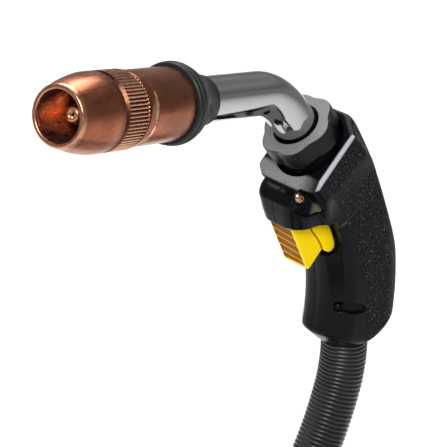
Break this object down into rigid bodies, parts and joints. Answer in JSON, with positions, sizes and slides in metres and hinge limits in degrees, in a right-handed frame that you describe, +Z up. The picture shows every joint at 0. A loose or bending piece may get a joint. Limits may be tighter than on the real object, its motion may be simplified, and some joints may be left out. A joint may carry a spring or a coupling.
{
  "type": "mig welding torch",
  "caption": "Hand-held welding torch: copper nozzle on a swivelling gooseneck, curved two-shell handle with a trigger, and a coiled cable with a central connector.",
  "frame": {"origin": "middle of the grip, on the handle's curved middle line", "axes": "-X is forwards, the way the nozzle points with the neck straight ahead; +Z up; the handle's split plane is Y = 0"},
  "size_m": [0.3571, 0.2593, 0.3511],
  "materials": {
    "copper": "brushed copper, heat tinted",
    "brass": "machined brass",
    "black_fibre": "moulded black fibre",
    "tip_copper": "machined copper, bright",
    "boot_rubber": "matt charcoal rubber",
    "steel": "polished steel",
    "insulation": "off-white insulating tube",
    "spring_steel": "wound spring steel",
    "nut_plastic": "sand-textured moulding",
    "handle_plastic": "black moulding, pebbled at the back and smooth in front",
    "screw_brass": "nickelled brass screw",
    "trigger_yellow": "bright yellow moulding",
    "pin_steel": "ground steel",
    "switch_black": "black switch case",
    "plunger_white": "white plunger",
    "wire_red": "insulated control wire",
    "lead_copper": "sheathed copper lead",
    "clamp_plastic": "clamp ring",
    "sleeve_black": "ribbed flexible sleeve",
    "cable_rubber": "smooth black cable",
    "tie_fabric": "woven hook and loop strap",
    "plug_plastic": "black moulding",
    "ring_plastic": "black moulded ring nut",
    "seal_rubber": "rubber seal",
    "dark_steel": "blackened steel"
  },
  "bodies": {
    "handle": {"neck_washer": "seal_rubber", "connector_block": "brass", "block_screws": "dark_steel", "power_lead": "lead_copper", "handle_left": "handle_plastic", "handle_right": "handle_plastic", "handle_screws": "screw_brass", "handle_nuts": "brass", "trigger_pin": "pin_steel", "trigger_spring": "spring_steel", "switch_body": "switch_black", "switch_wires": "wire_red", "cable_clamp": "clamp_plastic", "cable_sleeve": "sleeve_black", "cable_drop": "cable_rubber", "cable_coil": "cable_rubber", "cable_tail": "cable_rubber", "coil_ties": "tie_fabric", "plug_sleeve": "sleeve_black", "plug_shell_left": "plug_plastic", "plug_shell_right": "plug_plastic", "plug_screws": "pin_steel", "plug_body": "brass", "plug_pin": "brass", "plug_insulator": "black_fibre", "plug_contacts": "brass", "plug_seal": "seal_rubber"},
    "neck": {"neck_tube": "steel", "neck_insulation": "insulation", "conductor_tube": "tip_copper", "wire_liner": "spring_steel", "neck_boot": "boot_rubber", "gas_diffuser": "brass", "contact_tip": "tip_copper", "nozzle_insulator": "black_fibre"},
    "nut": {"neck_nut": "nut_plastic"},
    "nozzle": {"nozzle": "copper", "nozzle_sleeve": "brass"},
    "trigger": {"trigger": "trigger_yellow"},
    "plunger": {"switch_plunger": "plunger_white"},
    "ring": {"plug_ring": "ring_plastic"}
  },
  "joints": [
    {"name": "neck_swivel", "type": "hinge", "parent": "handle", "child": "neck", "pos_m": [-0.03257, 0, 0.06065], "axis": [-0.5878, 0, 0.809], "range_deg": [-114.5, 65.5]},
    {"name": "nut_turn", "type": "hinge", "parent": "handle", "child": "nut", "pos_m": [-0.03257, 0, 0.06065], "axis": [-0.5878, 0, 0.809], "continuous": true},
    {"name": "nozzle_pull", "type": "slide", "parent": "neck", "child": "nozzle", "axis": [-0.9294, -0.2775, 0.2433], "range_m": [0, 0.03]},
    {"name": "trigger_pull", "type": "hinge", "parent": "handle", "child": "trigger", "pos_m": [-0.027, 0, 0.021], "axis": [0, -1, 0], "range_deg": [0, 6], "stiffness_Nm_per_rad": 1.2, "springref_deg": -2.86, "deforming": ["trigger_spring"]},
    {"name": "plunger_press", "type": "slide", "parent": "handle", "child": "plunger", "axis": [1, 0, 0], "range_m": [0, 0.0022]},
    {"name": "ring_turn", "type": "hinge", "parent": "handle", "child": "ring", "pos_m": [0.03178, -0.04722, -0.2], "axis": [0.7071, 0.7071, 0], "continuous": true}
  ],
  "couplings": [
    {"joint": "plunger_press", "follows": "trigger_pull", "m_per_rad": 0.0205}
  ]
}
